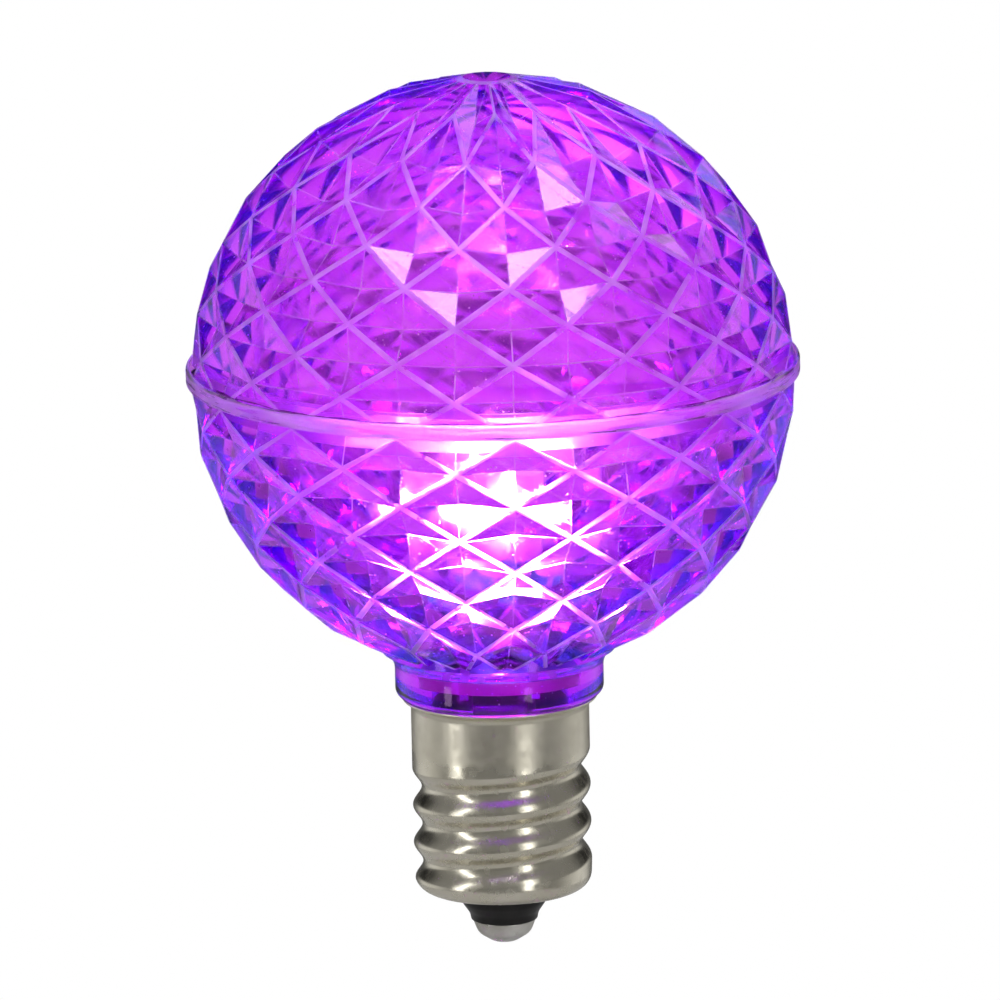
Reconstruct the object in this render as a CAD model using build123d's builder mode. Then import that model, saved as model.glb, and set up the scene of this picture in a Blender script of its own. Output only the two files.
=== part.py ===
"""Faceted LED globe bulb on a candelabra (E12) screw base.

Millimetres, +Z up along the bulb's axis, origin at the end of the tip contact, front towards -Y. Two moulded halves
with recessed diamond facets make the globe. Its neck stands in a rolled screw shell, and three LEDs on a round board
in the neck light it from inside.
"""

import os
from math import acos, asin, cos, radians, sin, sqrt

from build123d import *

# Globe: a hollow faceted ball in two halves
globe_radius = 20.0
globe_wall = 1.8
facet_columns = 16
facet_rows = 8
facet_depth = 0.85
first_column_angle = -7.4
pole_cap_radius = 1.8

# Seam: a plain band round the upper half, and a lap joint behind it
band_stand = 0.22
band_height = 1.0
lap_height = 1.2
lap_thickness = 0.7
glue_clearance = 0.05

# Neck of the lower half: a collar over the shell's lip, flared into the globe, and a spigot inside the shell
collar_radius = 6.9
collar_length = 2.83
collar_chamfer_height = 0.6
collar_chamfer_width = 0.45
collar_flare_height = 0.85
collar_flare_width = 0.85
neck_bore_radius = 5.3
board_ledge_height = 1.2
spigot_wall = 1.05

# Screw shell: rolled sheet with a knuckle thread
shell_length = 13.2
shell_wall = 0.3
thread_crest_radius = 5.9
thread_depth = 0.6
thread_pitch = 2.54
thread_end_height = 1.15
thread_top_drop = 4.18
thread_end_angle = 65.0
groove_root_width = 0.7
groove_mouth_width = 1.8
shell_lip_flare = 0.55
shell_lip_height = 0.5
shell_corner_height = 1.1
shell_corner_width = 1.0
seat_clearance = 0.05

# Base insulator and tip contact
insulator_drop = 2.12
insulator_end_radius = 2.2
insulator_neck_radius = 2.95
insulator_flange_radius = 4.2
insulator_flange_height = 1.5
tip_height = 1.5
tip_radius = 2.1
tip_shoulder_radius = 1.75
tip_shoulder_height = 0.6
tip_flat_radius = 0.8
tip_socket_depth = 0.8

# Circuit board on the ledge in the neck
board_thickness = 1.0
board_clearance = 0.05

# LEDs: three wide-angle lenses with hollowed tops, standing on square leads
led_count = 3
led_ring_radius = 3.2
led_first_angle = 90.0
led_radius = 2.5
led_height = 7.6
led_hollow_depth = 1.3
led_stand_off = 3.4
lead_width = 0.5
lead_spacing = 2.54
lead_embed = 4.0
lead_tail = 0.7
lead_clearance = 0.05

# Rectifier under the board
rectifier_width = 3.2
rectifier_depth = 2.4
rectifier_height = 1.4
rectifier_offset = 2.2
rectifier_leg_width = 0.6
rectifier_leg_reach = 0.4
rectifier_leg_thickness = 0.25
rectifier_leg_spacing = 2.0

# Dropper resistor on the axis, with a lead at each end
resistor_length = 6.3
resistor_radius = 1.15
resistor_end_radius = 0.8
resistor_shoulder_length = 0.5
resistor_stand_off = 0.6
wire_radius = 0.3
wire_clearance = 0.05

# Wire from the board to the screw shell
shell_wire_ring_radius = 3.0
shell_wire_angle = 50.0
shell_wire_gap = 0.1
shell_wire_drop = 6.8

# Levels and radii that follow from the sizes above
insulator_bottom_z = tip_height
shell_bottom_z = insulator_bottom_z + insulator_drop
insulator_shoulder_z = shell_bottom_z + shell_wall
insulator_top_z = insulator_shoulder_z + insulator_flange_height
shell_top_z = shell_bottom_z + shell_length
collar_bottom_z = shell_top_z + seat_clearance
collar_top_z = collar_bottom_z + collar_length
seam_z = collar_top_z + sqrt(globe_radius**2 - collar_radius**2)
cavity_radius = globe_radius - globe_wall
thread_root_radius = thread_crest_radius - thread_depth
thread_top_z = shell_top_z - thread_top_drop
shell_band_bore = thread_crest_radius - shell_wall
shell_thread_bore = thread_root_radius - shell_wall
shell_step_z = thread_top_z + groove_mouth_width / 2 + shell_wall
spigot_radius = shell_band_bore - seat_clearance
spigot_bore_radius = spigot_radius - spigot_wall
spigot_bottom_z = shell_step_z + seat_clearance
board_bottom_z = collar_bottom_z + board_ledge_height
board_top_z = board_bottom_z + board_thickness
wire_hole_radius = wire_radius + wire_clearance

os.makedirs("parts", exist_ok=True)

# Facet lattice: rows equally spaced in height, each row half a column round from the last, then the pole cap
row_spacing = globe_radius / (facet_rows + 0.5)
column_angle = 360 / facet_columns
latitudes = [asin(row * row_spacing / globe_radius) for row in range(facet_rows + 1)]
latitudes.append(acos(pole_cap_radius / globe_radius))


def on_ball(radius, row, turn):
    """Point on a ball about the globe's centre, in a facet row and a number of columns round from the first."""
    angle = radians(first_column_angle + column_angle * turn)
    ring = radius * cos(latitudes[row])
    return Vector(ring * sin(angle), -ring * cos(angle), seam_z + radius * sin(latitudes[row]))


def flat_face(*corners):
    """Flat face with straight edges."""
    return Face(Wire.make_polygon(corners, close=True))


def facet_pit(radius, depth, row, column):
    """The facets of one recessed diamond: they fall from the ridge crossings round it to the bottom of its pit."""
    left_turn = column if row % 2 else column + 0.5
    middle_turn = left_turn + 0.5
    left = on_ball(radius, row, left_turn)
    right = on_ball(radius, row, left_turn + 1)
    bottom = on_ball(radius - depth, row, middle_turn)
    facets = []
    if row > 0:
        below = on_ball(radius, row - 1, middle_turn)
        facets += [flat_face(bottom, left, below), flat_face(bottom, below, right)]
    if row < facet_rows:
        above = on_ball(radius, row + 1, middle_turn)
        facets += [flat_face(bottom, right, above), flat_face(bottom, above, left)]
    else:
        cap_left = on_ball(radius, row + 1, left_turn)
        cap_right = on_ball(radius, row + 1, left_turn + 1)
        facets += [flat_face(bottom, cap_left, left), flat_face(bottom, right, cap_right)]
        facets.append(flat_face(bottom, cap_right, cap_left))
    return facets


def faceted_half(radius, depth):
    """Solid upper half of a faceted ball: staggered rows of pits, a flat underside and a low cone at the pole."""
    columns = range(facet_columns)
    cap_stagger = 0.5 * ((facet_rows + 1) % 2)
    pole = Vector(0, 0, seam_z + radius)
    faces = []
    for row in range(facet_rows + 1):
        for column in columns:
            faces += facet_pit(radius, depth, row, column)
    for column in columns:
        cap_left = on_ball(radius, facet_rows + 1, column + cap_stagger)
        cap_right = on_ball(radius, facet_rows + 1, column + cap_stagger + 1)
        faces.append(flat_face(pole, cap_left, cap_right))
    underside = []
    for column in columns:
        underside += [on_ball(radius, 0, column + 0.5), on_ball(radius - depth, 0, column + 1)]
    faces.append(flat_face(*underside))
    return Solid(Shell(faces))


globe_half = faceted_half(globe_radius, facet_depth)
core_half = faceted_half(cavity_radius, 0)
seam_plane = Plane.XY.offset(seam_z)

# Lap joint: a many-sided ring in step with the facet columns, so that the halves meet one way round
lap_sides = 2 * facet_columns
lap_turn = first_column_angle - 90
lap_radius = cavity_radius + lap_thickness

# Upper dome: faceted half with a plain rim band, hollowed, and rebated for the lap joint
with BuildPart() as upper_dome:
    add(globe_half)
    with BuildSketch(seam_plane):
        Circle(globe_radius + band_stand)
    extrude(amount=band_height)
    add(core_half, mode=Mode.SUBTRACT)
    with BuildSketch(seam_plane):
        RegularPolygon(lap_radius + glue_clearance, lap_sides, rotation=lap_turn)
    extrude(amount=lap_height, mode=Mode.SUBTRACT)
upper_dome.part.label = "upper_dome"
export_step(upper_dome.part, "parts/upper_dome.step")

# Lower bowl: faceted half turned over, with lap tongue, collar and spigot, and a ledge for the board in its neck
flare_radius = collar_radius + collar_flare_width
flare_top_z = seam_z - sqrt(globe_radius**2 - flare_radius**2)

with BuildPart() as lower_bowl:
    add(globe_half.mirror(seam_plane))
    with BuildSketch(Plane.XZ):
        with BuildLine():
            Polyline(
                (0, seam_z),
                (0, spigot_bottom_z),
                (spigot_radius, spigot_bottom_z),
                (spigot_radius, collar_bottom_z),
                (collar_radius - collar_chamfer_width, collar_bottom_z),
                (collar_radius, collar_bottom_z + collar_chamfer_height),
                (collar_radius, collar_top_z - collar_flare_height),
                (flare_radius, flare_top_z),
                (flare_radius, seam_z),
                close=True,
            )
        make_face()
    revolve(axis=Axis.Z)
    add(core_half.mirror(seam_plane), mode=Mode.SUBTRACT)
    with BuildSketch(Plane.XZ):
        with BuildLine():
            Polyline(
                (0, seam_z),
                (neck_bore_radius, seam_z),
                (neck_bore_radius, board_bottom_z),
                (spigot_bore_radius, board_bottom_z),
                (spigot_bore_radius, spigot_bottom_z),
                (0, spigot_bottom_z),
                close=True,
            )
        make_face()
    revolve(axis=Axis.Z, mode=Mode.SUBTRACT)
    with BuildSketch(seam_plane):
        RegularPolygon(lap_radius, lap_sides, rotation=lap_turn)
        RegularPolygon(cavity_radius, lap_sides, rotation=lap_turn, mode=Mode.SUBTRACT)
    extrude(amount=lap_height - glue_clearance)
lower_bowl.part.label = "lower_bowl"
export_step(lower_bowl.part, "parts/lower_bowl.step")

# Screw shell: thin flared tube with an inturned bottom edge and a helical knuckle groove rolled into it
shell_hole_radius = insulator_neck_radius + seat_clearance
thread_bottom_z = shell_bottom_z + thread_end_height

with BuildPart() as screw_shell:
    with BuildSketch(Plane.XZ):
        with BuildLine():
            Polyline(
                (shell_hole_radius, shell_bottom_z),
                (thread_crest_radius - shell_corner_width, shell_bottom_z),
                (thread_crest_radius, shell_bottom_z + shell_corner_height),
                (thread_crest_radius, shell_top_z - shell_lip_height),
                (thread_crest_radius + shell_lip_flare, shell_top_z),
                (shell_band_bore, shell_top_z),
                (shell_band_bore, shell_step_z),
                (shell_thread_bore, shell_step_z),
                (shell_thread_bore, insulator_shoulder_z),
                (shell_hole_radius, insulator_shoulder_z),
                close=True,
            )
        make_face()
    revolve(axis=Axis.Z)
    thread_path = Helix(
        pitch=thread_pitch,
        height=thread_top_z - thread_bottom_z,
        radius=thread_root_radius,
        center=(0, 0, thread_bottom_z),
        mode=Mode.PRIVATE,
    ).rotate(Axis.Z, thread_end_angle)
    outwards = Vector(1, 0, 0).rotate(Axis.Z, thread_end_angle)
    with BuildSketch(Plane(origin=thread_path @ 0, x_dir=outwards, z_dir=thread_path % 0)):
        with BuildLine():
            Polyline(
                (2 * thread_depth, groove_root_width / 2 - groove_mouth_width),
                (0, -groove_root_width / 2),
                (0, groove_root_width / 2),
                (2 * thread_depth, groove_mouth_width - groove_root_width / 2),
                close=True,
            )
        make_face()
    sweep(path=thread_path, is_frenet=True, mode=Mode.SUBTRACT)
screw_shell.part.label = "screw_shell"
export_step(screw_shell.part, "parts/screw_shell.step")

# Base insulator: black plug whose cone stands out of the shell and whose flange sits on the inturned edge
with BuildPart() as base_insulator:
    with BuildSketch(Plane.XZ):
        with BuildLine():
            Polyline(
                (wire_hole_radius, insulator_bottom_z),
                (insulator_end_radius, insulator_bottom_z),
                (insulator_neck_radius, insulator_shoulder_z),
                (insulator_flange_radius, insulator_shoulder_z),
                (insulator_flange_radius, insulator_top_z),
                (wire_hole_radius, insulator_top_z),
                close=True,
            )
        make_face()
    revolve(axis=Axis.Z)
base_insulator.part.label = "base_insulator"
export_step(base_insulator.part, "parts/base_insulator.step")

# Tip contact: domed button with a socket for the resistor's lead
with BuildPart() as tip_contact:
    with BuildSketch(Plane.XZ):
        with BuildLine():
            Polyline(
                (0, 0),
                (tip_flat_radius, 0),
                (tip_shoulder_radius, tip_shoulder_height),
                (tip_radius, tip_height),
                (0, tip_height),
                close=True,
            )
        make_face()
    revolve(axis=Axis.Z)
    with Locations((0, 0, tip_height)):
        Hole(wire_hole_radius, depth=tip_socket_depth)
tip_contact.part.label = "tip_contact"
export_step(tip_contact.part, "parts/tip_contact.step")

# LEDs: lenses in a ring, each cast round two square leads that go down through the board
led_base_z = board_top_z + led_stand_off
led_top_z = led_base_z + led_height
lead_bottom_z = board_bottom_z - lead_tail
lead_top_z = led_base_z + lead_embed
lead_points = []

for number in range(1, led_count + 1):
    led_angle = led_first_angle + 360 / led_count * (number - 1)
    led_center = Vector(led_ring_radius, 0).rotate(Axis.Z, led_angle)
    lead_offset = Vector(0, lead_spacing / 2).rotate(Axis.Z, led_angle)
    lead_pair = [led_center + lead_offset, led_center - lead_offset]
    lead_points += lead_pair

    with BuildPart() as led_leads:
        with BuildSketch(Plane.XY.offset(lead_bottom_z)):
            with Locations(*lead_pair):
                Rectangle(lead_width, lead_width)
        extrude(amount=lead_top_z - lead_bottom_z)
    led_leads.part.label = f"led_leads_{number}"
    export_step(led_leads.part, f"parts/led_leads_{number}.step")

    with BuildPart() as led_lens:
        with BuildSketch(Plane.XY.offset(led_base_z)):
            with Locations(led_center):
                Circle(led_radius)
        extrude(amount=led_height)
        with Locations((led_center.X, led_center.Y, led_top_z)):
            Cone(0, led_radius, led_hollow_depth, align=(Align.CENTER, Align.CENTER, Align.MAX), mode=Mode.SUBTRACT)
        with BuildSketch(Plane.XY.offset(led_base_z)):
            with Locations(*lead_pair):
                Rectangle(lead_width, lead_width)
        extrude(amount=lead_embed, mode=Mode.SUBTRACT)
    led_lens.part.label = f"led_{number}"
    export_step(led_lens.part, f"parts/led_{number}.step")

# Circuit board: disc with a square hole for each LED lead and a round one for the resistor's lead
lead_hole_width = lead_width + 2 * lead_clearance

with BuildPart() as circuit_board:
    with BuildSketch(Plane.XY.offset(board_bottom_z)):
        Circle(neck_bore_radius - board_clearance)
        Circle(wire_hole_radius, mode=Mode.SUBTRACT)
        with Locations(*lead_points):
            Rectangle(lead_hole_width, lead_hole_width, mode=Mode.SUBTRACT)
    extrude(amount=board_thickness)
circuit_board.part.label = "circuit_board"
export_step(circuit_board.part, "parts/circuit_board.step")

# Bridge rectifier: flat block under the front of the board, with two legs on each long side
with BuildPart() as bridge_rectifier:
    with BuildSketch(Plane.XY.offset(board_bottom_z)):
        with Locations((0, -rectifier_offset)):
            Rectangle(rectifier_width, rectifier_depth)
    extrude(amount=-rectifier_height)
    with BuildSketch(Plane.XY.offset(board_bottom_z)):
        with Locations((0, -rectifier_offset)):
            with GridLocations(rectifier_leg_spacing, rectifier_depth + rectifier_leg_reach, 2, 2):
                Rectangle(rectifier_leg_width, rectifier_leg_reach)
    extrude(amount=-rectifier_leg_thickness)
bridge_rectifier.part.label = "bridge_rectifier"
export_step(bridge_rectifier.part, "parts/bridge_rectifier.step")

# Dropper resistor: round body standing on the axis inside the shell
resistor_bottom_z = insulator_top_z + resistor_stand_off
resistor_top_z = resistor_bottom_z + resistor_length

with BuildPart() as dropper_resistor:
    with BuildSketch(Plane.XZ):
        with BuildLine():
            Polyline(
                (0, resistor_bottom_z),
                (resistor_end_radius, resistor_bottom_z),
                (resistor_radius, resistor_bottom_z + resistor_shoulder_length),
                (resistor_radius, resistor_top_z - resistor_shoulder_length),
                (resistor_end_radius, resistor_top_z),
                (0, resistor_top_z),
                close=True,
            )
        make_face()
    revolve(axis=Axis.Z)
dropper_resistor.part.label = "dropper_resistor"
export_step(dropper_resistor.part, "parts/dropper_resistor.step")

# Resistor leads: one up into the board, one down through the insulator into the tip contact
lower_lead_end_z = tip_height - tip_socket_depth + wire_clearance

with BuildPart() as resistor_leads:
    with BuildSketch(Plane.XY.offset(resistor_top_z)):
        Circle(wire_radius)
    extrude(amount=board_top_z - resistor_top_z)
    with BuildSketch(Plane.XY.offset(lower_lead_end_z)):
        Circle(wire_radius)
    extrude(amount=resistor_bottom_z - lower_lead_end_z)
resistor_leads.part.label = "resistor_leads"
export_step(resistor_leads.part, "parts/resistor_leads.step")

# Shell wire: slants down from the board's underside, through the spigot, to the shell's wall below it
shell_wire_reach = shell_thread_bore - shell_wire_gap - wire_radius - shell_wire_ring_radius
shell_wire_start = Vector(shell_wire_ring_radius, 0).rotate(Axis.Z, shell_wire_angle)
shell_wire_run = Vector(shell_wire_reach, 0, -shell_wire_drop).rotate(Axis.Z, shell_wire_angle)

with BuildPart() as shell_wire:
    with BuildSketch(Plane.XY.offset(board_bottom_z)):
        with Locations(shell_wire_start):
            Circle(wire_radius)
    extrude(amount=shell_wire_run.length, dir=shell_wire_run.normalized())
shell_wire.part.label = "shell_wire"
export_step(shell_wire.part, "parts/shell_wire.step")
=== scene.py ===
"""Looks of the faceted LED globe bulb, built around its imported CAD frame.

Lengths are in millimetres until they enter a mesh, a material or the scene.
"""

from math import acos, asin, atan2, cos, degrees, pi, radians, sin, sqrt

import bmesh
import bpy
from mathutils import Matrix, Vector


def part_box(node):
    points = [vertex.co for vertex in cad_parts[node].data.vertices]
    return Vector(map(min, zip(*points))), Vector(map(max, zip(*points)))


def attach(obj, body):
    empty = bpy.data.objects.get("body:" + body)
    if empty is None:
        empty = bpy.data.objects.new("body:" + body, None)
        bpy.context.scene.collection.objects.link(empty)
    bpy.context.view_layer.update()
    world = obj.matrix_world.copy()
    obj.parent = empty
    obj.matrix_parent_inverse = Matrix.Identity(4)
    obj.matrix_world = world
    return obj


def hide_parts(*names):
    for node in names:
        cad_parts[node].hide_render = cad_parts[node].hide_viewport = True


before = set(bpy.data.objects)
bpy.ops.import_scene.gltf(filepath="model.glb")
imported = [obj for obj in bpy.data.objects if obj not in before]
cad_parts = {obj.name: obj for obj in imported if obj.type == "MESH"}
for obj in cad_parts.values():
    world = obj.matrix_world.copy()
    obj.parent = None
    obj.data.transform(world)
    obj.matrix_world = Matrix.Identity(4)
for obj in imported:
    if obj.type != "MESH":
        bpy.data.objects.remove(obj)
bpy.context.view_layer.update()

MM = 0.001
SEAM_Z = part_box("upper_dome")[0][2] / MM
SHELL_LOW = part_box("screw_shell")[0][2] / MM
SHELL_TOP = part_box("screw_shell")[1][2] / MM
INSULATOR_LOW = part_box("base_insulator")[0][2] / MM
INSULATOR_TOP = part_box("base_insulator")[1][2] / MM
LED_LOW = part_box("led_1")[0][2] / MM
LED_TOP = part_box("led_1")[1][2] / MM

# Globe, as in the CAD
GLOBE_R = 20.0
CAVITY_R = 18.2
COLUMNS = 16
ROWS = 8
FACET_DEPTH = 0.85
FIRST_COLUMN = -7.4
CAP_R = 1.8
BAND_R = 20.21
BAND_HEIGHT = 1.0
LAP_R = 18.9
LAP_HEIGHT = 1.2
GLUE_GAP = 0.05

# Neck of the lower bowl, as in the CAD, with heights from the seam
COLLAR_R = 6.9
COLLAR_GAP = 0.05
COLLAR_LOW = SHELL_TOP + COLLAR_GAP - SEAM_Z
FLARE_R = 7.75
NECK_BORE = 5.3
LEDGE_HEIGHT = 1.2
LEDGE_Z = COLLAR_LOW + LEDGE_HEIGHT
SPIGOT_R = 5.55
SPIGOT_BORE = 4.5
SPIGOT_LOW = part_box("lower_bowl")[0][2] / MM - SEAM_Z

# Softening that the CAD leaves out
RIDGE_HALF_WIDTH = 0.2
RIDGE_STEPS = 3
RIDGE_FROST = 1.0
VALLEY_HALF_WIDTH = 0.05
VALLEY_STEPS = 1
VALLEY_FROST = 0.6
RIM_MARGIN = 0.01
BAND_LOW_ROUND = 0.06
BAND_TOP_ROUND = 0.2
COLLAR_ROUND = 0.6

# Reach of the boolean tools past the faces they cut or join
TOOL_PAST = 1.0
NECK_TOOL_TOP = -16.0
BOWL_TOOL_TOP = 3.0
BOWL_TOOL_LOW = -30.0

# Fineness of the meshes: degrees of an arc's step, copies round the axis, steps, and sharp angles in degrees
FILLET_STEP = 12.0
BAND_TURNS = 256
CAVITY_TURNS = 192
NECK_TURNS = 160
BASE_TURNS = 96
LENS_TURNS = 40
DOME_STEPS = 56
BOWL_STEPS = 48
NECK_STEPS = 8
FACET_SHARP = 18.0
SHELL_SHARP = 40.0
BASE_SHARP = 35.0
FLAT_WEIGHT = 100

# Part of a side that a fillet may take, and sizes that count as none
SIDE_SHARE = 0.49
SMALLEST = 1e-6
ON_AXIS = 1e-9
MERGE_METRES = 1e-7
SLIVER_METRES = 1e-8


def fillet_path(corners):
    """Closed polyline through (r, z, fillet radius) corners, each corner rounded by an arc of its radius."""
    points = []
    count = len(corners)
    for i, (r, z, radius) in enumerate(corners):
        here = Vector((r, z))
        if radius <= 0:
            points.append(here)
            continue
        before = Vector(corners[i - 1][:2]) - here
        after = Vector(corners[(i + 1) % count][:2]) - here
        angle = before.angle(after)
        slope = abs(sin(angle / 2) / cos(angle / 2))
        longest = SIDE_SHARE * min(before.length, after.length)
        reach = min(radius / max(SMALLEST, slope), longest)
        start = here + before.normalized() * reach
        end = here + after.normalized() * reach
        arcs = max(2, int(degrees(pi - angle) / FILLET_STEP))
        true_radius = reach * slope
        inwards = (before.normalized() + after.normalized()).normalized()
        middle = here + inwards * (true_radius / sin(angle / 2))
        a0 = atan2(start.y - middle.y, start.x - middle.x)
        a1 = atan2(end.y - middle.y, end.x - middle.x)
        turn = (a1 - a0 + pi) % (2 * pi) - pi
        for k in range(arcs + 1):
            a = a0 + turn * k / arcs
            points.append(middle + true_radius * Vector((cos(a), sin(a))))
    return [(p.x, p.y) for p in points]


def arc(cr, cz, radius, first, last, steps):
    """Points of an arc in the (r, z) plane, with angles in degrees."""
    angles = [radians(first + (last - first) * i / steps) for i in range(steps + 1)]
    return [(cr + radius * cos(a), cz + radius * sin(a)) for a in angles]


def mesh_object(name, verts, faces):
    """Object from vertices in millimetres."""
    mesh = bpy.data.meshes.new(name)
    mesh.from_pydata([(x * MM, y * MM, z * MM) for x, y, z in verts], [], faces)
    obj = bpy.data.objects.new(name, mesh)
    bpy.context.scene.collection.objects.link(obj)
    return obj


def tidy_mesh(obj):
    """Merges doubled points and turns the faces outwards."""
    bm = bmesh.new()
    bm.from_mesh(obj.data)
    bmesh.ops.remove_doubles(bm, verts=bm.verts, dist=MERGE_METRES)
    bmesh.ops.dissolve_degenerate(bm, edges=bm.edges, dist=SLIVER_METRES)
    bmesh.ops.recalc_face_normals(bm, faces=bm.faces)
    bm.to_mesh(obj.data)
    bm.free()


def turned(name, section, verts, turns):
    """Closed solid from copies of a closed (r, z) section that stand round the Z axis."""
    n = len(section)
    faces = []
    for i in range(turns):
        j = (i + 1) % turns
        for k in range(n):
            m = (k + 1) % n
            if section[k][0] < ON_AXIS and section[m][0] < ON_AXIS:
                continue
            faces.append((i * n + k, j * n + k, j * n + m, i * n + m))
    obj = mesh_object(name, verts, faces)
    tidy_mesh(obj)
    return obj


def lathe(name, section, turns):
    """Closed solid turned from a closed (r, z) section about the Z axis."""
    verts = []
    for i in range(turns):
        a = 2 * pi * i / turns
        verts += [(r * cos(a), r * sin(a), z) for r, z in section]
    return turned(name, section, verts, turns)


def bake_modifiers(obj):
    """Leaves the object with the mesh that its modifiers give, and no modifiers."""
    graph = bpy.context.evaluated_depsgraph_get()
    made = bpy.data.meshes.new_from_object(obj.evaluated_get(graph))
    obj.modifiers.clear()
    spent = obj.data
    obj.data = made
    bpy.data.meshes.remove(spent)


def combine(obj, tool, operation):
    """Boolean of two closed solids; the tool goes."""
    step = obj.modifiers.new(operation.lower(), "BOOLEAN")
    step.operation = operation
    step.solver = "EXACT"
    step.object = tool
    bake_modifiers(obj)
    bpy.data.objects.remove(tool)


def shade(obj, angle, weighted=False):
    """Smooth shading, broken where faces turn by more than the angle.

    Weighted shading keeps flat faces flat beside their bevels.
    """
    obj.data.polygons.foreach_set("use_smooth", [True] * len(obj.data.polygons))
    obj.data.set_sharp_from_angle(angle=radians(angle))
    if weighted:
        step = obj.modifiers.new("flat_facets", "WEIGHTED_NORMAL")
        step.mode = "FACE_AREA"
        step.weight = FLAT_WEIGHT
        step.keep_sharp = True
        bake_modifiers(obj)
    obj.data.update()


LATITUDES = [asin(row / (ROWS + 0.5)) for row in range(ROWS + 1)] + [acos(CAP_R / GLOBE_R)]


def on_ball(radius, row, turn):
    """Lattice point of the facets about the globe's centre, as in the CAD."""
    a = radians(FIRST_COLUMN + 360 / COLUMNS * turn)
    ring = radius * cos(LATITUDES[row])
    return (ring * sin(a), -ring * cos(a), radius * sin(LATITUDES[row]))


def row_offset(row):
    """Where a row's crossings start, in columns: even rows at a half, and the cap like the last row."""
    return 0.5 if min(row, ROWS) % 2 == 0 else 0.0


def facet_half(name, mirrored):
    """Solid half ball with recessed diamond facets and rounded ridges, about the globe's centre."""
    bm = bmesh.new()
    known = {}
    crossings = set()

    def vert(kind, row, turn):
        key = (kind, row, round(turn * 2) % (2 * COLUMNS))
        if key not in known:
            radius = GLOBE_R - FACET_DEPTH if kind == "pit" else GLOBE_R
            known[key] = bm.verts.new(on_ball(radius, row, turn))
        return known[key]

    for row in range(ROWS + 2):
        for column in range(COLUMNS):
            crossings.add(vert("ridge", row, column + row_offset(row)))
    for row in range(ROWS + 1):
        for column in range(COLUMNS):
            left_turn = column + row_offset(row)
            left = vert("ridge", row, left_turn)
            right = vert("ridge", row, left_turn + 1)
            pit = vert("pit", row, left_turn + 0.5)
            if row > 0:
                below = vert("ridge", row - 1, left_turn + 0.5)
                bm.faces.new((pit, left, below))
                bm.faces.new((pit, below, right))
            if row < ROWS:
                above = vert("ridge", row + 1, left_turn + 0.5)
                bm.faces.new((pit, right, above))
                bm.faces.new((pit, above, left))
            else:
                cap_left = vert("ridge", row + 1, left_turn)
                cap_right = vert("ridge", row + 1, left_turn + 1)
                bm.faces.new((pit, cap_left, left))
                bm.faces.new((pit, right, cap_right))
                bm.faces.new((pit, cap_right, cap_left))
    pole = bm.verts.new((0, 0, GLOBE_R))
    cap = [vert("ridge", ROWS + 1, column + row_offset(ROWS + 1)) for column in range(COLUMNS)]
    for first, second in zip(cap, cap[1:] + cap[:1]):
        bm.faces.new((pole, first, second))
    rim = []
    for column in range(COLUMNS):
        rim += [vert("ridge", 0, column + 0.5), vert("pit", 0, column + 1)]
    bm.faces.new(rim)
    bmesh.ops.recalc_face_normals(bm, faces=bm.faces)
    frost = bm.faces.layers.float.new("frost")
    ridges = [edge for edge in bm.edges if all(v in crossings for v in edge.verts)]
    pits = [known[key] for key in known if key[0] == "pit"]

    def soften(edges, half_width, steps, amount):
        made = bmesh.ops.bevel(
            bm,
            geom=edges,
            offset=half_width,
            offset_type="OFFSET",
            segments=steps,
            profile=0.5,
            affect="EDGES",
            clamp_overlap=True,
            loop_slide=True,
            material=-1,
        )
        for face in made["faces"]:
            face[frost] = amount

    soften(ridges, RIDGE_HALF_WIDTH, RIDGE_STEPS, RIDGE_FROST)
    valleys = [
        edge for pit in pits for edge in pit.link_edges
        if any(v.co.z > RIM_MARGIN for v in edge.verts)
    ]
    soften(valleys, VALLEY_HALF_WIDTH, VALLEY_STEPS, VALLEY_FROST)
    flip = -1 if mirrored else 1
    bmesh.ops.transform(bm, matrix=Matrix.Diagonal((MM, MM, flip * MM, 1)), verts=bm.verts)
    bmesh.ops.recalc_face_normals(bm, faces=bm.faces)
    # The bevel's order of faces varies between runs, so the mesh takes them sorted
    bm.verts.index_update()
    frosts = {tuple(v.index for v in face.verts): face[frost] for face in bm.faces}
    rows = sorted(frosts)
    mesh = bpy.data.meshes.new(name)
    mesh.from_pydata([v.co for v in bm.verts], [], rows)
    layer = mesh.attributes.new("frost", "FLOAT", "FACE")
    layer.data.foreach_set("value", [frosts[row] for row in rows])
    bm.free()
    obj = bpy.data.objects.new(name, mesh)
    bpy.context.scene.collection.objects.link(obj)
    return obj


def lift(obj, z):
    """Moves the object's mesh up by z millimetres."""
    obj.data.transform(Matrix.Translation((0, 0, z * MM)))


# Upper dome
dome = facet_half("upper_dome_moulding", False)
band = fillet_path([
    (0, 0, 0),
    (BAND_R, 0, BAND_LOW_ROUND),
    (BAND_R, BAND_HEIGHT, BAND_TOP_ROUND),
    (0, BAND_HEIGHT, 0),
])
combine(dome, lathe("dome_band", band, BAND_TURNS), "UNION")
hollow = [(0, -TOOL_PAST), (LAP_R, -TOOL_PAST), (LAP_R, LAP_HEIGHT)]
hollow += arc(0, 0, CAVITY_R, degrees(asin(LAP_HEIGHT / CAVITY_R)), 90, DOME_STEPS)
combine(dome, lathe("dome_hollow", hollow, CAVITY_TURNS), "DIFFERENCE")
lift(dome, SEAM_Z)

# Lower bowl, with a concave flare from the collar to the globe
flare_slope = degrees(asin(FLARE_R / GLOBE_R))
flare_arc = (FLARE_R - COLLAR_R) / (1 - sin(radians(flare_slope)))
flare_mid = -sqrt(GLOBE_R**2 - FLARE_R**2) - flare_arc * cos(radians(flare_slope))

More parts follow.
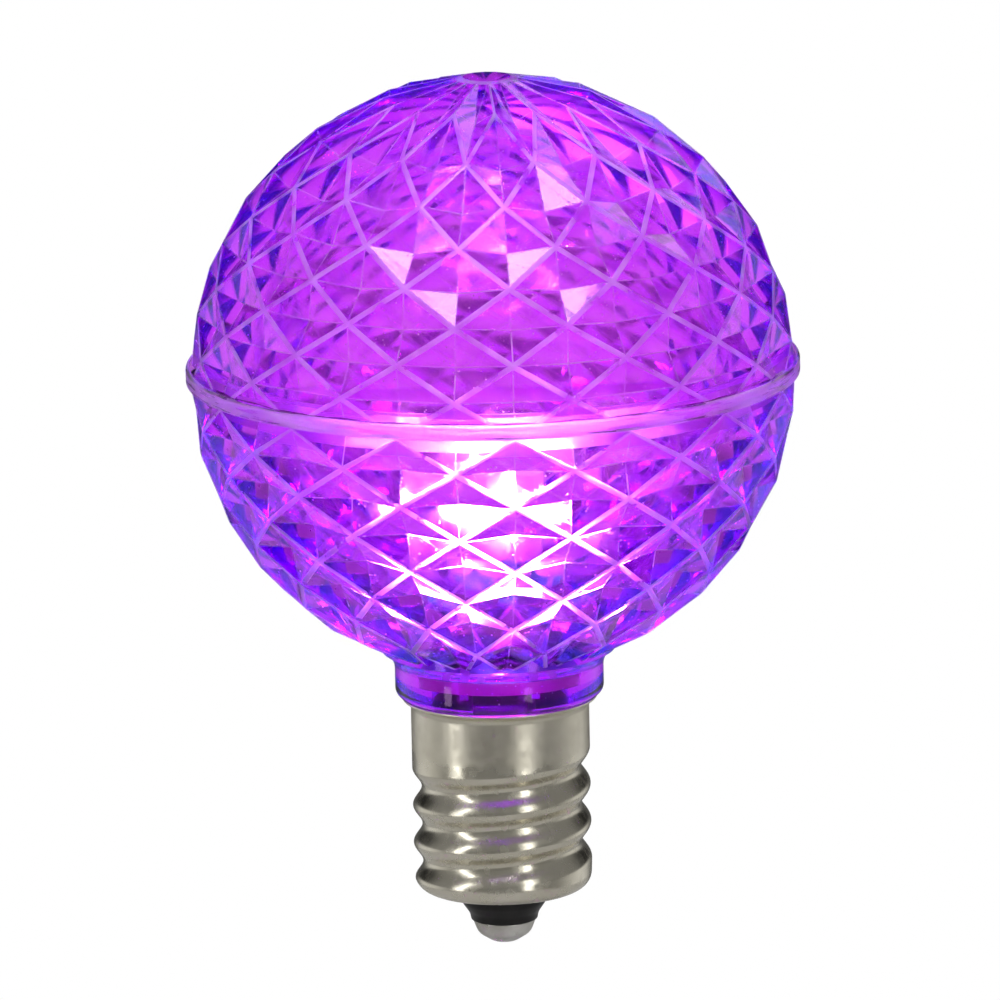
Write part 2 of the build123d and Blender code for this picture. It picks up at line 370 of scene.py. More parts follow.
bowl = facet_half("lower_bowl_moulding", True)
neck = [(0, NECK_TOOL_TOP), (0, SPIGOT_LOW), (SPIGOT_R, SPIGOT_LOW), (SPIGOT_R, COLLAR_LOW)]
neck += arc(COLLAR_R - COLLAR_ROUND, COLLAR_LOW + COLLAR_ROUND, COLLAR_ROUND, -90, 0, NECK_STEPS)
neck += arc(COLLAR_R + flare_arc, flare_mid, flare_arc, 180, 90 + flare_slope, NECK_STEPS)
neck += [(FLARE_R, NECK_TOOL_TOP)]
combine(bowl, lathe("bowl_neck", neck, NECK_TURNS), "UNION")
tongue_in = CAVITY_R - TOOL_PAST
tongue_out = LAP_R - GLUE_GAP
tongue_top = LAP_HEIGHT - GLUE_GAP
tongue = [(tongue_in, -TOOL_PAST), (tongue_out, -TOOL_PAST)]
tongue += [(tongue_out, tongue_top), (tongue_in, tongue_top)]
combine(bowl, lathe("bowl_tongue", tongue, CAVITY_TURNS), "UNION")
hollow = [(0, BOWL_TOOL_TOP), (0, BOWL_TOOL_LOW), (SPIGOT_BORE, BOWL_TOOL_LOW)]
hollow += [(SPIGOT_BORE, LEDGE_Z), (NECK_BORE, LEDGE_Z)]
hollow += arc(0, 0, CAVITY_R, -degrees(acos(NECK_BORE / CAVITY_R)), 0, BOWL_STEPS)
hollow += [(CAVITY_R, BOWL_TOOL_TOP)]
combine(bowl, lathe("bowl_hollow", hollow, CAVITY_TURNS), "DIFFERENCE")
lift(bowl, SEAM_Z)

for half in (dome, bowl):
    tidy_mesh(half)
    shade(half, FACET_SHARP, weighted=True)

# Screw shell: sheet with a knuckle thread rolled into what stands outside ROLLED_R, under a plain band.
# The lip's points are given out from the crest and down from the top.
CREST_R = 5.9
THREAD_DEPTH = 0.6
PITCH = 2.54
SHEET = 0.3
SHELL_HOLE_R = 3.0
SHELL_ROUND = 1.15
SHELL_ROUND_STEPS = 10
THREAD_START = 65.0
THREAD_LOW = SHELL_LOW + SHELL_ROUND
PLAIN_BAND = 4.18
THREAD_HIGH = SHELL_TOP - PLAIN_BAND
THREAD_FADE = 80.0
ROLLED_R = CREST_R - SHEET - 0.35
LIP_DEPTH = 0.75
LIP = [(0.03, 0.6), (0.13, 0.45), (0.3, 0.3), (0.48, 0.2), (0.55, 0.12), (0.55, 0.04), (0.5, 0.0)]
SHELL_TURNS = 216
SHELL_STEPS = 150


def groove(angle, z):
    """Depth of the rolled groove at an angle in degrees and a height, 0 to 1."""
    turns = (THREAD_HIGH - THREAD_LOW) / PITCH
    along = (z - THREAD_LOW) / PITCH - (angle - THREAD_START) / 360
    nearest = round(along)
    unwound = (angle - THREAD_START) / 360 + nearest
    shape = 0.5 + 0.5 * cos(2 * pi * (along - nearest))
    run_in = max(0.0, (unwound * 360 + THREAD_FADE) / THREAD_FADE)
    run_out = max(0.0, ((turns - unwound) * 360 + THREAD_FADE) / THREAD_FADE)
    fade = min(1.0, run_in, run_out)
    return shape * fade * fade * (3 - 2 * fade)


def threaded_sheet(name):
    """Rolled shell: an outside and an inside skin that follow the thread, closed at the lip and the hole."""
    low = THREAD_LOW
    high = SHELL_TOP - LIP_DEPTH
    step = (high - low) / SHELL_STEPS
    bend_r = CREST_R - SHELL_ROUND
    outside = [(SHELL_HOLE_R, SHELL_LOW)]
    outside += arc(bend_r, low, SHELL_ROUND, -90, 0, SHELL_ROUND_STEPS)
    outside += [(CREST_R, low + step * i) for i in range(1, SHELL_STEPS + 1)]
    outside += [(CREST_R + out, SHELL_TOP - down) for out, down in LIP]
    inside = [(CREST_R - SHEET, SHELL_TOP)]
    inside += [(CREST_R - SHEET, high - step * i) for i in range(SHELL_STEPS + 1)]
    inside += arc(bend_r, low, SHELL_ROUND - SHEET, 0, -90, SHELL_ROUND_STEPS)
    inside += [(SHELL_HOLE_R, SHELL_LOW + SHEET)]
    section = outside + inside
    verts = []
    for i in range(SHELL_TURNS):
        angle = 360 * i / SHELL_TURNS
        a = radians(angle)
        for r, z in section:
            deep = THREAD_DEPTH * groove(angle, z) if r > ROLLED_R else 0.0
            verts.append(((r - deep) * cos(a), (r - deep) * sin(a), z))
    return turned(name, section, verts, SHELL_TURNS)


shell = threaded_sheet("screw_shell_rolled")
shade(shell, SHELL_SHARP)

# Base insulator and tip contact, as (r, z, fillet radius) sections
SOCKET_R = 0.35
SOCKET_LOW = 0.7
FLANGE_R = 4.2
TIP_TOP = 1.5
insulator = lathe("base_insulator_plug", fillet_path([
    (SOCKET_R, INSULATOR_LOW, 0),
    (2.2, INSULATOR_LOW, 0.1),
    (2.28, INSULATOR_LOW + 0.45, 0.8),
    (2.8, INSULATOR_LOW + 1.2, 0.6),
    (2.95, SHELL_LOW + SHEET, 0),
    (FLANGE_R, SHELL_LOW + SHEET, 0.1),
    (FLANGE_R, INSULATOR_TOP, 0.2),
    (SOCKET_R, INSULATOR_TOP, 0),
]), BASE_TURNS)
shade(insulator, BASE_SHARP)
tip = lathe("tip_contact_button", fillet_path([
    (0, 0, 0),
    (0.8, 0, 0.7),
    (1.75, 0.6, 0.9),
    (2.1, TIP_TOP, 0.05),
    (SOCKET_R, TIP_TOP, 0),
    (SOCKET_R, SOCKET_LOW, 0),
    (0, SOCKET_LOW, 0),
]), BASE_TURNS)
shade(tip, BASE_SHARP)

# LED lenses, with a dished top
LENS_R = 2.5
LENS_ROUND = 0.12
LENS_HEIGHT = LED_TOP - LED_LOW
LENS_DISH = 1.3
leds = []
for number in (1, 2, 3):
    low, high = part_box(f"led_{number}")
    lens = lathe(f"led_lens_{number}", fillet_path([
        (0, 0, 0),
        (LENS_R, 0, LENS_ROUND),
        (LENS_R, LENS_HEIGHT, LENS_ROUND),
        (0, LENS_HEIGHT - LENS_DISH, 0),
    ]), LENS_TURNS)
    lens.data.transform(Matrix.Translation(((low[0] + high[0]) / 2, (low[1] + high[1]) / 2, low[2])))
    shade(lens, BASE_SHARP)
    leds.append(lens)

# Range that most of a noise lies in
NOISE_RANGE = (0.3, 0.7)


def material(name):
    """New node material with only its output; gives the material, the tree and the output."""
    mat = bpy.data.materials.new(name)
    mat.use_nodes = True
    tree = mat.node_tree
    tree.nodes.clear()
    return mat, tree, tree.nodes.new("ShaderNodeOutputMaterial")


def object_point(tree):
    """Point of the surface in the object's own space, in metres."""
    return tree.nodes.new("ShaderNodeTexCoord").outputs["Object"]


def axis(tree, point, name):
    """One coordinate of a point."""
    node = tree.nodes.new("ShaderNodeSeparateXYZ")
    tree.links.new(point, node.inputs[0])
    return node.outputs[name]


def vector(tree, operation, point, constant):
    """Vector math node on a point and a constant."""
    node = tree.nodes.new("ShaderNodeVectorMath")
    node.operation = operation
    node.inputs[1].default_value = constant
    tree.links.new(point, node.inputs[0])
    return node


def calc(tree, operation, total, *values):
    """Math node on two values or sockets, or a row of such nodes on more."""
    for value in values:
        node = tree.nodes.new("ShaderNodeMath")
        node.operation = operation
        for socket, part in zip(node.inputs, (total, value)):
            if isinstance(part, (int, float)):
                socket.default_value = part
            else:
                tree.links.new(part, socket)
        total = node.outputs[0]
    return total


def noise(tree, scale, detail, stretch=(1, 1, 1), slant=0.0):
    """Noise in the object's own space, with a scale per metre.

    It is squeezed along the axes by the stretch and turned about the Y axis by a slant in degrees.
    """
    mapping = tree.nodes.new("ShaderNodeMapping")
    mapping.vector_type = "TEXTURE"
    mapping.inputs["Rotation"].default_value = (0, radians(slant), 0)
    mapping.inputs["Scale"].default_value = [1 / amount for amount in stretch]
    tree.links.new(object_point(tree), mapping.inputs["Vector"])
    node = tree.nodes.new("ShaderNodeTexNoise")
    node.inputs["Scale"].default_value = scale
    node.inputs["Detail"].default_value = detail
    tree.links.new(mapping.outputs["Vector"], node.inputs["Vector"])
    return node.outputs["Fac"]


def random_value(tree, point):
    """Random value from 0 to 1 at each point."""
    node = tree.nodes.new("ShaderNodeTexWhiteNoise")
    tree.links.new(point, node.inputs["Vector"])
    return node.outputs["Value"]


def map_range(tree, value, source, target, kind):
    """Maps a value from a range onto another."""
    node = tree.nodes.new("ShaderNodeMapRange")
    node.interpolation_type = kind
    node.inputs["From Min"].default_value = source[0]
    node.inputs["From Max"].default_value = source[1]
    node.inputs["To Min"].default_value = target[0]
    node.inputs["To Max"].default_value = target[1]
    tree.links.new(value, node.inputs["Value"])
    return node.outputs["Result"]


def span(tree, factor, target):
    """Maps the usual range of a noise onto another."""
    return map_range(tree, factor, NOISE_RANGE, target, "LINEAR")


def change(tree, value, source, target):
    """Smooth change from one level to another while the value goes through a range."""
    return map_range(tree, value, source, target, "SMOOTHSTEP")


def change_mm(tree, length, source, target):
    """Smooth change over a range of a length, with the range in millimetres."""
    return change(tree, length, (source[0] * MM, source[1] * MM), target)


def ramp(tree, factor, colours):
    """Goes from the first colour to the second over the usual range of a noise."""
    node = tree.nodes.new("ShaderNodeValToRGB")
    for stop, place, colour in zip(node.color_ramp.elements, NOISE_RANGE, colours):
        stop.position = place
        stop.color = (*colour, 1)
    tree.links.new(factor, node.inputs["Fac"])
    return node.outputs["Color"]


def mix_colour(tree, factor, colour, constant, blend="MIX"):
    """Blends a constant colour into a colour by a factor."""
    node = tree.nodes.new("ShaderNodeMixRGB")
    node.blend_type = blend
    node.inputs[2].default_value = (*constant, 1)
    tree.links.new(factor, node.inputs[0])
    tree.links.new(colour, node.inputs[1])
    return node.outputs[0]


def mix_shader(tree, factor, first, second):
    """First shader where the factor is 0, second where it is 1."""
    node = tree.nodes.new("ShaderNodeMixShader")
    tree.links.new(factor, node.inputs[0])
    tree.links.new(first, node.inputs[1])
    tree.links.new(second, node.inputs[2])
    return node.outputs[0]


def bump(tree, height, strength, distance):
    """Bump from a height, with its distance in millimetres."""
    node = tree.nodes.new("ShaderNodeBump")
    node.inputs["Strength"].default_value = strength
    node.inputs["Distance"].default_value = distance * MM
    tree.links.new(height, node.inputs["Height"])
    return node.outputs["Normal"]


# Violet plastic: colours
PLASTIC_IOR = 1.49
MIRROR_TINT = (0.9, 0.5, 1.0)
PLASTIC_TINTS = ((0.96, 0.60, 1.0), (0.99, 0.70, 1.0))
BOWL_TINT = (0.84, 0.52, 0.97)
# Paler tint of the worn ridges and seam band: a painted highlight
WORN_HIGHLIGHT_TINT = (1.0, 0.94, 1.0)
LAMP_TINT = (0.7, 0.4, 0.97)
DEPTH_TINT = (0.82, 0.0, 0.992)
DEPTH_DENSITY = 700.0

# Violet plastic: roughness, and shares of the light or the surface, as a value or over the range of a noise
POLISH = (-0.04, 0.1)
RIDGE_ROUGH = (0.6, 0.1)
RIDGE_SCATTER = (0.12, 0.0)
BAND_ROUGH = (0.1, 0.7)
BAND_SCATTER = (0.02, 0.2)
BAND_PALE = 0.3
WELD_ROUGH = 0.45
INNER_ROUGH = 0.08
HAZE_ROUGH = 0.85
HAZE_SHARE = (0.002, 0.06)
DUST_SIZE = 0.1
DUST_SHARE = 0.004
DUST_ROUGH = 0.45
MARK_RANGE = (0.6, 0.75)
MARK_ROUGH = 0.15
RIPPLE = 0.1

# Violet plastic: ranges of distance from the globe's centre and of height over the seam
INSIDE_RANGE = (CAVITY_R + 0.1, CAVITY_R + 0.3)
JOINT_RANGE = (LAP_R + 0.08, LAP_R + 0.15)
WELD_RANGE = (LAP_HEIGHT, LAP_HEIGHT + 0.1)
BAND_OUT_RANGE = (GLOBE_R - 0.1, GLOBE_R + 0.1)
BAND_TOP_RANGE = (BAND_HEIGHT + 0.05, BAND_HEIGHT + 0.1)
BAND_LOWEST = -0.1
HAZE_RANGE = (-6.0, 0.0)
BOWL_RANGE = (-9.0, -1.0)


def violet_plastic():
    """Clear violet moulded plastic with worn ridges and seam band, tinted paler as a painted highlight, dust
    and a duller inside.
    """
    mat, tree, out = material("violet_plastic")
    point = object_point(tree)
    from_centre = vector(tree, "SUBTRACT", point, (0, 0, SEAM_Z * MM)).outputs["Vector"]
    reach = vector(tree, "LENGTH", from_centre, (0, 0, 0)).outputs["Value"]
    height = axis(tree, from_centre, "Z")
    cloud = noise(tree, scale=550, detail=2)
    streaks = noise(tree, scale=300, detail=1, stretch=(1, 1, 14))
    worn_and_highlight = tree.nodes.new("ShaderNodeAttribute")
    worn_and_highlight.attribute_name = "frost"
    ridge = worn_and_highlight.outputs["Fac"]

    # Places: the cavity's wall, the lap joint behind the seam and the seam band
    inside = change_mm(tree, reach, INSIDE_RANGE, (1.0, 0.0))
    near_seam = change_mm(tree, calc(tree, "ABSOLUTE", height, 0.0), WELD_RANGE, (1.0, 0.0))
    weld = calc(tree, "MULTIPLY", near_seam, change_mm(tree, reach, JOINT_RANGE, (1.0, 0.0)))
    under_top = change_mm(tree, height, BAND_TOP_RANGE, (1.0, 0.0))
    over_seam = calc(tree, "GREATER_THAN", height, BAND_LOWEST * MM)
    outermost = change_mm(tree, reach, BAND_OUT_RANGE, (0.0, 1.0))
    on_band = calc(tree, "MULTIPLY", under_top, over_seam, outermost)

    # Roughness: specks of haze inside, ridges, dust, slanted rubbed marks, the weld and the drawn seam band
    crowd = change_mm(tree, height, HAZE_RANGE, HAZE_SHARE)
    haze = calc(tree, "MULTIPLY", calc(tree, "LESS_THAN", random_value(tree, point), crowd), HAZE_ROUGH)
    inner = calc(tree, "MULTIPLY", inside, calc(tree, "ADD", haze, INNER_ROUGH))
    edges = calc(tree, "MULTIPLY", ridge, span(tree, cloud, RIDGE_ROUGH))
    cells = vector(tree, "SNAP", point, [DUST_SIZE * MM] * 3).outputs["Vector"]
    grains = calc(tree, "LESS_THAN", random_value(tree, cells), DUST_SHARE)
    dust = calc(tree, "MULTIPLY", grains, DUST_ROUGH)
    rubbed = noise(tree, scale=300, detail=0, stretch=(0.5, 0.5, 12), slant=35)
    marks = change(tree, rubbed, MARK_RANGE, (0.0, MARK_ROUGH))
    glue = calc(tree, "MULTIPLY", weld, WELD_ROUGH)
    drawn = calc(tree, "MULTIPLY", on_band, span(tree, streaks, BAND_ROUGH))
    dull = calc(tree, "MAXIMUM", inner, edges, dust, marks, glue, drawn)
    rough = calc(tree, "MAXIMUM", calc(tree, "ADD", span(tree, cloud, POLISH), dull), 0.0)

    # Colour: deeper in the bowl, and paler on the worn ridges and seam band as a painted highlight. The worn
    # places scatter a part of the light.
    bowl_share = change_mm(tree, height, BOWL_RANGE, (1.0, 0.0))
    tint = mix_colour(tree, bowl_share, ramp(tree, cloud, PLASTIC_TINTS), BOWL_TINT, "MULTIPLY")
    # Painted highlight: the ridges and the seam band take a paler tint on top of their wear
    pale = calc(tree, "MAXIMUM", ridge, calc(tree, "MULTIPLY", on_band, BAND_PALE))
    tint = mix_colour(tree, pale, tint, WORN_HIGHLIGHT_TINT)
    ridge_scatter = calc(tree, "MULTIPLY", ridge, span(tree, cloud, RIDGE_SCATTER))
    band_scatter = calc(tree, "MULTIPLY", on_band, span(tree, streaks, BAND_SCATTER))
    clear = calc(tree, "SUBTRACT", 1.0, calc(tree, "MAXIMUM", ridge_scatter, band_scatter))

    ripple = calc(tree, "MULTIPLY", noise(tree, scale=700, detail=0), RIPPLE)
    relief = calc(tree, "ADD", ripple, calc(tree, "MULTIPLY", on_band, streaks))
    body = tree.nodes.new("ShaderNodeBsdfPrincipled")
    body.inputs["IOR"].default_value = PLASTIC_IOR
    body.inputs["Specular Tint"].default_value = (*MIRROR_TINT, 1)
    tree.links.new(tint, body.inputs["Base Color"])
    tree.links.new(rough, body.inputs["Roughness"])
    tree.links.new(clear, body.inputs["Transmission Weight"])
    tree.links.new(bump(tree, relief, strength=1.0, distance=0.05), body.inputs["Normal"])

    # Shadow rays pass as through a violet filter, so that the lamps shine into the wall
    lamp_filter = tree.nodes.new("ShaderNodeBsdfTransparent")
    lamp_filter.inputs["Color"].default_value = (*LAMP_TINT, 1)
    path = tree.nodes.new("ShaderNodeLightPath")
    surface = mix_shader(tree, path.outputs["Is Shadow Ray"], body.outputs[0], lamp_filter.outputs[0])
    tree.links.new(surface, out.inputs["Surface"])
    depth = tree.nodes.new("ShaderNodeVolumeAbsorption")
    depth.inputs["Color"].default_value = (*DEPTH_TINT, 1)
    depth.inputs["Density"].default_value = DEPTH_DENSITY
    tree.links.new(depth.outputs[0], out.inputs["Volume"])
    return mat


# Plain band of the shell: height over the thread at which it is fully satin, and its added roughness
SATIN_HEIGHT = 1.0
SATIN_ROUGH = 0.13


def plated(name, colours, rough, grain):
    """Metal plate with uneven colour and roughness and a fine grain, more satin above the thread."""
    mat, tree, out = material(name)
    body = tree.nodes.new("ShaderNodeBsdfPrincipled")
    body.inputs["Metallic"].default_value = 1.0
    uneven = noise(tree, scale=350, detail=5)
    tree.links.new(ramp(tree, uneven, colours), body.inputs["Base Color"])
    height = axis(tree, object_point(tree), "Z")
    satin = change_mm(tree, height, (THREAD_HIGH, THREAD_HIGH + SATIN_HEIGHT), (0.0, SATIN_ROUGH))
    dull = span(tree, noise(tree, scale=1500, detail=1), rough)
    tree.links.new(calc(tree, "ADD", dull, satin), body.inputs["Roughness"])
    relief = noise(tree, scale=grain, detail=1)
    tree.links.new(bump(tree, relief, strength=0.1, distance=0.02), body.inputs["Normal"])
    tree.links.new(body.outputs[0], out.inputs["Surface"])
    return mat


def solid(name, colours, rough, scale, shine=0.5):
    """Opaque plastic, lacquer or laminate with uneven colour, roughness and grain."""
    mat, tree, out = material(name)
    body = tree.nodes.new("ShaderNodeBsdfPrincipled")
    body.inputs["Specular IOR Level"].default_value = shine
    uneven = noise(tree, scale=scale, detail=4)
    tree.links.new(ramp(tree, uneven, colours), body.inputs["Base Color"])
    dull = span(tree, noise(tree, scale=1200, detail=3), rough)
    tree.links.new(dull, body.inputs["Roughness"])
    relief = noise(tree, scale=2500, detail=3)
    tree.links.new(bump(tree, relief, strength=0.2, distance=0.03), body.inputs["Normal"])
    tree.links.new(body.outputs[0], out.inputs["Surface"])
    return mat


BOARD_GREENS = ((0.02, 0.30, 0.26), (0.05, 0.42, 0.36))
BOARD_EDGE = (0.75, 0.68, 0.5)
LEVEL_LIMIT = 0.5


def laminate():
    """Green board with a bare tan edge, which is where the face isn't level."""
    mat = solid("board_laminate", BOARD_GREENS, (0.35, 0.5), 700)
    tree = mat.node_tree
    body = next(node for node in tree.nodes if node.type == "BSDF_PRINCIPLED")
    coating = body.inputs["Base Color"].links[0].from_socket
    upright = axis(tree, tree.nodes.new("ShaderNodeNewGeometry").outputs["Normal"], "Z")
    edge = calc(tree, "LESS_THAN", calc(tree, "ABSOLUTE", upright, 0.0), LEVEL_LIMIT)
    tree.links.new(mix_colour(tree, edge, coating, BOARD_EDGE), body.inputs["Base Color"])
    return mat


# LED lens: colours, heights between which the chip shines, and strengths of the chip and the lens
LENS_TINTS = ((0.9, 0.75, 0.95), (1.0, 0.85, 1.0))
LENS_ROUGH = 0.15
LIGHT_TINT = (1.0, 0.85, 0.85)
CHIP_LOW_RANGE = (LED_TOP - 3.7, LED_TOP - 3.2)
CHIP_TOP_RANGE = (LED_TOP - 2.7, LED_TOP - 2.2)
CHIP_STRENGTH = 400.0
LENS_STRENGTH = 0.2


def lit_epoxy():
    """LED lens filled with light, brightest round the chip."""
    mat, tree, out = material("lit_epoxy")
    body = tree.nodes.new("ShaderNodeBsdfPrincipled")
    body.inputs["Roughness"].default_value = LENS_ROUGH
    body.inputs["Emission Color"].default_value = (*LIGHT_TINT, 1)
    uneven = noise(tree, scale=500, detail=2)
    tree.links.new(ramp(tree, uneven, LENS_TINTS), body.inputs["Base Color"])
    height = axis(tree, object_point(tree), "Z")
    above = change_mm(tree, height, CHIP_LOW_RANGE, (0.0, 1.0))
    below = change_mm(tree, height, CHIP_TOP_RANGE, (1.0, 0.0))
    chip = calc(tree, "MULTIPLY", above, below, CHIP_STRENGTH)
    tree.links.new(calc(tree, "ADD", chip, LENS_STRENGTH), body.inputs["Emission Strength"])
    tree.links.new(body.outputs[0], out.inputs["Surface"])
    return mat


# Darkest and lightest colour of each material
NICKELS = ((0.62, 0.585, 0.475), (0.70, 0.665, 0.56))
TINS = ((0.34, 0.32, 0.27), (0.74, 0.73, 0.69))
WIRES = ((0.66, 0.65, 0.63), (0.78, 0.77, 0.75))
BLACKS = ((0.004, 0.004, 0.004), (0.010, 0.009, 0.009))
EPOXIES = ((0.02, 0.02, 0.022), (0.035, 0.035, 0.037))
COATS = ((0.30, 0.48, 0.55), (0.38, 0.57, 0.64))

VIOLET = violet_plastic()
NICKEL = plated("nickel_plate", NICKELS, rough=(0.17, 0.30), grain=4500)
TIN = plated("tinned_contact", TINS, rough=(0.25, 0.45), grain=1800)
WIRE = plated("tinned_wire", WIRES, rough=(0.25, 0.4), grain=2500)
BLACK = solid("black_insulator", BLACKS, rough=(0.28, 0.42), scale=600, shine=0.2)
EPOXY = solid("black_epoxy", EPOXIES, rough=(0.45, 0.6), scale=900)
BOARD = laminate()
COAT = solid("resistor_coat", COATS, rough=(0.35, 0.5), scale=600)
LIT = lit_epoxy()


def dress(obj, mat):
    """One material over the whole object."""
    obj.data.materials.clear()
    obj.data.materials.append(mat)


def stand_for(piece, node, mat):
    """Puts a finished piece in a CAD node's place."""
    dress(piece, mat)
    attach(piece, "root")
    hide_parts(node)


stand_for(dome, "upper_dome", VIOLET)
stand_for(bowl, "lower_bowl", VIOLET)
stand_for(shell, "screw_shell", NICKEL)
stand_for(insulator, "base_insulator", BLACK)
stand_for(tip, "tip_contact", TIN)
for number, lens in enumerate(leds, 1):
    stand_for(lens, f"led_{number}", LIT)

CAD_LOOKS = {
    "circuit_board": BOARD,
    "led_leads_1": WIRE,
    "led_leads_2": WIRE,
    "led_leads_3": WIRE,
    "bridge_rectifier": EPOXY,
    "dropper_resistor": COAT,
    "resistor_leads": WIRE,
    "shell_wire": WIRE,
}
for node, mat in CAD_LOOKS.items():
    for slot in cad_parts[node].material_slots:
        slot.material = mat

# Floor: a small pale table
FLOOR_Z = -45.0
FLOOR_HALF = 110.0
PAPER = 0.85
SEEN_GLOW_SHARE = 0.9
MIRRORED_GLOW_SHARE = 0.7
MIRRORED_GLOW = 0.12


def white_paper():
    """Paper that is white to the eye and keeps a faint shadow, and that is dim in mirrors and glass."""
    mat, tree, out = material("floor_white")
    paper = tree.nodes.new("ShaderNodeBsdfDiffuse")
    paper.inputs["Color"].default_value = (PAPER, PAPER, PAPER, 1)
    glow = tree.nodes.new("ShaderNodeEmission")
    path = tree.nodes.new("ShaderNodeLightPath")
    seen = path.outputs["Is Camera Ray"]
    tree.links.new(calc(tree, "MAXIMUM", seen, MIRRORED_GLOW), glow.inputs["Strength"])
    mirrored = calc(tree, "MAXIMUM", path.outputs["Is Glossy Ray"], path.outputs["Is Transmission Ray"])
    seen_share = calc(tree, "MULTIPLY", seen, SEEN_GLOW_SHARE)
    mirrored_share = calc(tree, "MULTIPLY", mirrored, MIRRORED_GLOW_SHARE)
    share = calc(tree, "MAXIMUM", seen_share, mirrored_share)
    tree.links.new(mix_shader(tree, share, paper.outputs[0], glow.outputs[0]), out.inputs["Surface"])
    return mat


corners = [(-1, -1), (1, -1), (1, 1), (-1, 1)]
floor_points = [(x * FLOOR_HALF, y * FLOOR_HALF, FLOOR_Z) for x, y in corners]
floor = mesh_object("floor", floor_points, [(0, 1, 2, 3)])
dress(floor, white_paper())

# World: strengths, and the parts of a direction's Y and Z between which they change
SEEN_WHITE = 1.0
EVEN_LIGHT = 0.55
THROUGH_GLASS = (0.25, 1.0)
THROUGH_GLASS_Z = (-0.5, -0.2)
SWEEP_FOOT_Z = (-0.55, -0.35)
SWEEP_TOP_Z = (-0.05, 0.15)
SWEEP = (0.22, 0.72)
SWEEP_Y = (-0.45, 0.45)
SWEEP_FADE = (1.0, 0.15)
SWEEP_FADE_Y = (0.6, 0.92)
SKY = (0.24, 0.02)
SKY_Y = (0.2, 0.7)
SKY_Z = (0.0, 0.15)


def background(tree, strength):
    """White background of a strength, which may be a socket."""
    node = tree.nodes.new("ShaderNodeBackground")
    node.inputs["Color"].default_value = (1, 1, 1, 1)
    if isinstance(strength, float):
        node.inputs["Strength"].default_value = strength
    else:
        tree.links.new(strength, node.inputs["Strength"])
    return node.outputs[0]


def studio():
    """World that is white to the eye, with soft even light.

    Glass shows white that is darker below, and mirrors a dim room with a pale sweep round the horizon.
    """
    world = bpy.data.worlds.new("studio")
    world.use_nodes = True
    tree = world.node_tree
    tree.nodes.clear()
    out = tree.nodes.new("ShaderNodeOutputWorld")
    path = tree.nodes.new("ShaderNodeLightPath")
    direction = tree.nodes.new("ShaderNodeTexCoord").outputs["Generated"]
    away = axis(tree, direction, "Y")
    up = axis(tree, direction, "Z")
    foot = change(tree, up, SWEEP_FOOT_Z, (0.0, 1.0))
    top = change(tree, up, SWEEP_TOP_Z, (1.0, 0.0))
    behind = change(tree, away, SWEEP_Y, SWEEP)
    fade = change(tree, away, SWEEP_FADE_Y, SWEEP_FADE)
    sweep = calc(tree, "MULTIPLY", foot, top, behind, fade)
    sky = calc(tree, "MULTIPLY", change(tree, away, SKY_Y, SKY), change(tree, up, SKY_Z, (0.0, 1.0)))
    in_mirrors = background(tree, calc(tree, "ADD", sweep, sky))
    in_glass = background(tree, change(tree, up, THROUGH_GLASS_Z, THROUGH_GLASS))
    lit = mix_shader(tree, path.outputs["Is Glossy Ray"], background(tree, EVEN_LIGHT), in_mirrors)
    lit = mix_shader(tree, path.outputs["Is Transmission Ray"], lit, in_glass)
    lit = mix_shader(tree, path.outputs["Is Camera Ray"], lit, background(tree, SEEN_WHITE))
    tree.links.new(lit, out.inputs["Surface"])
    return world


bpy.context.scene.world = studio()

LAMP_AIM_Z = 30.0


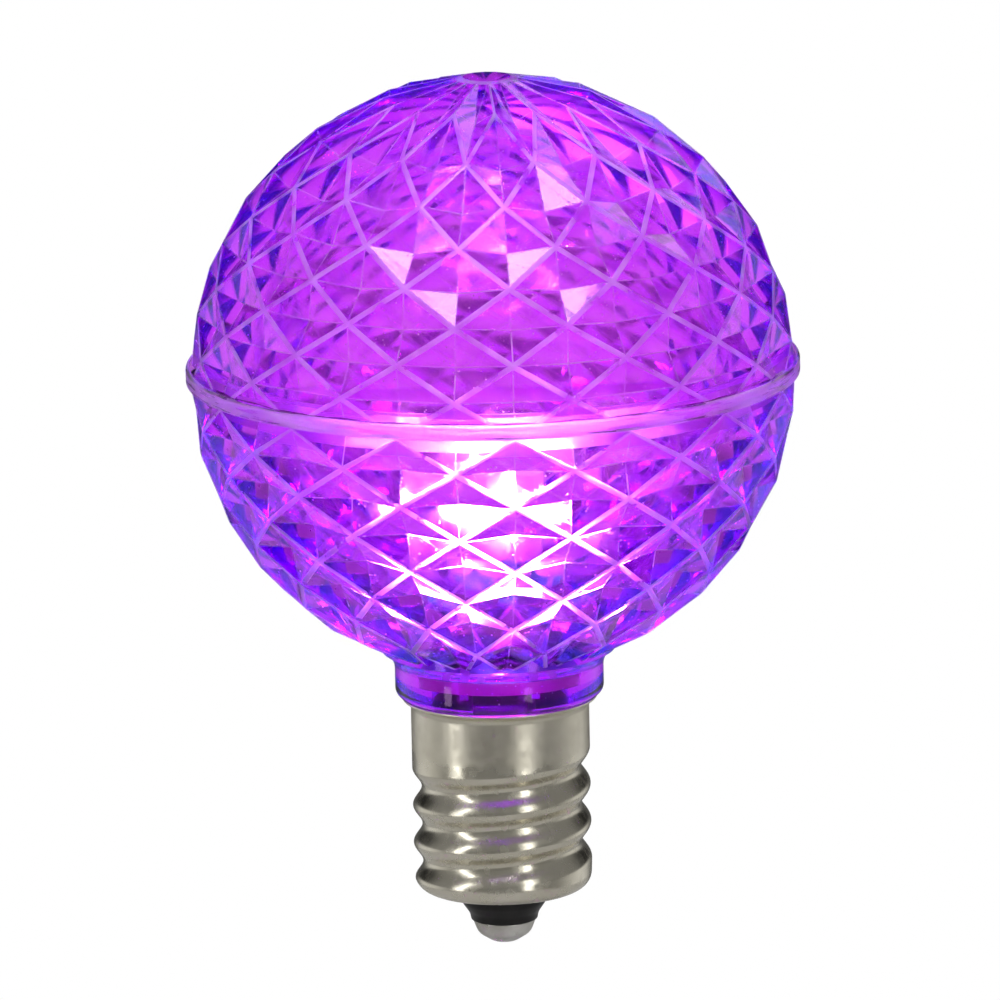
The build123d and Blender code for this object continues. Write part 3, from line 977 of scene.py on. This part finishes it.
def softbox(name, azimuth, elevation, distance, size, power):
    """Area lamp aimed at the bulb. Azimuth 0 is the camera's side, positive towards +X."""
    lamp = bpy.data.lights.new(name, "AREA")
    lamp.shape = "RECTANGLE"
    lamp.size = size[0] * MM
    lamp.size_y = size[1] * MM
    lamp.energy = power
    obj = bpy.data.objects.new(name, lamp)
    bpy.context.scene.collection.objects.link(obj)
    a = radians(azimuth)
    e = radians(elevation)
    aim = Vector((0, 0, LAMP_AIM_Z * MM))
    place = aim + distance * MM * Vector((sin(a) * cos(e), -cos(a) * cos(e), sin(e)))
    obj.location = place
    obj.rotation_euler = (aim - place).to_track_quat("-Z", "Y").to_euler()


softbox("softbox_left", azimuth=-60, elevation=12, distance=500, size=(90, 620), power=0.62)
softbox("softbox_right", azimuth=32, elevation=12, distance=500, size=(90, 620), power=0.6)
softbox("softbox_back", azimuth=150, elevation=40, distance=600, size=(300, 300), power=0.5)
softbox("softbox_top", azimuth=-14, elevation=72, distance=500, size=(190, 190), power=2.6)

# Camera at the photograph's angle. The globe's centre stands at CENTRE of the picture's width and height.
ELEVATION = 12.4
ROLL = 1.21
DISTANCE = 900.0
FOCAL = 13.68
SENSOR = 36.0
CENTRE_X = 0.4930
CENTRE_Y = 0.3737
NEAREST_METRES = 0.01
FARTHEST_METRES = 20.0
centre = Vector((0, 0, SEAM_Z)) * MM
e = radians(ELEVATION)
eye = centre + DISTANCE * MM * Vector((0, -cos(e), sin(e)))
camera = bpy.data.cameras.new("camera")
camera.sensor_fit = "HORIZONTAL"
camera.sensor_width = SENSOR
camera.lens = FOCAL * SENSOR
camera.clip_start = NEAREST_METRES
camera.clip_end = FARTHEST_METRES
view = bpy.data.objects.new("camera", camera)
bpy.context.scene.collection.objects.link(view)
turn = (centre - eye).to_track_quat("-Z", "Y").to_matrix()
roll = Matrix.Rotation(radians(-ROLL), 3, "Z")
offset = Vector((CENTRE_X - 0.5, 0.5 - CENTRE_Y, 0)) / FOCAL
tilt = Matrix.Rotation(-offset.y, 3, "X") @ Matrix.Rotation(offset.x, 3, "Y")
view.matrix_world = Matrix.Translation(eye) @ (turn @ roll @ tilt).to_4x4()
bpy.context.scene.camera = view

scene = bpy.context.scene
scene.view_settings.view_transform = "Standard"
scene.cycles.sample_clamp_indirect = 0.0
scene.cycles.max_bounces = 12
scene.cycles.transmission_bounces = 12
scene.cycles.glossy_bounces = 8
scene.cycles.use_light_tree = False
scene.cycles.transparent_max_bounces = 1
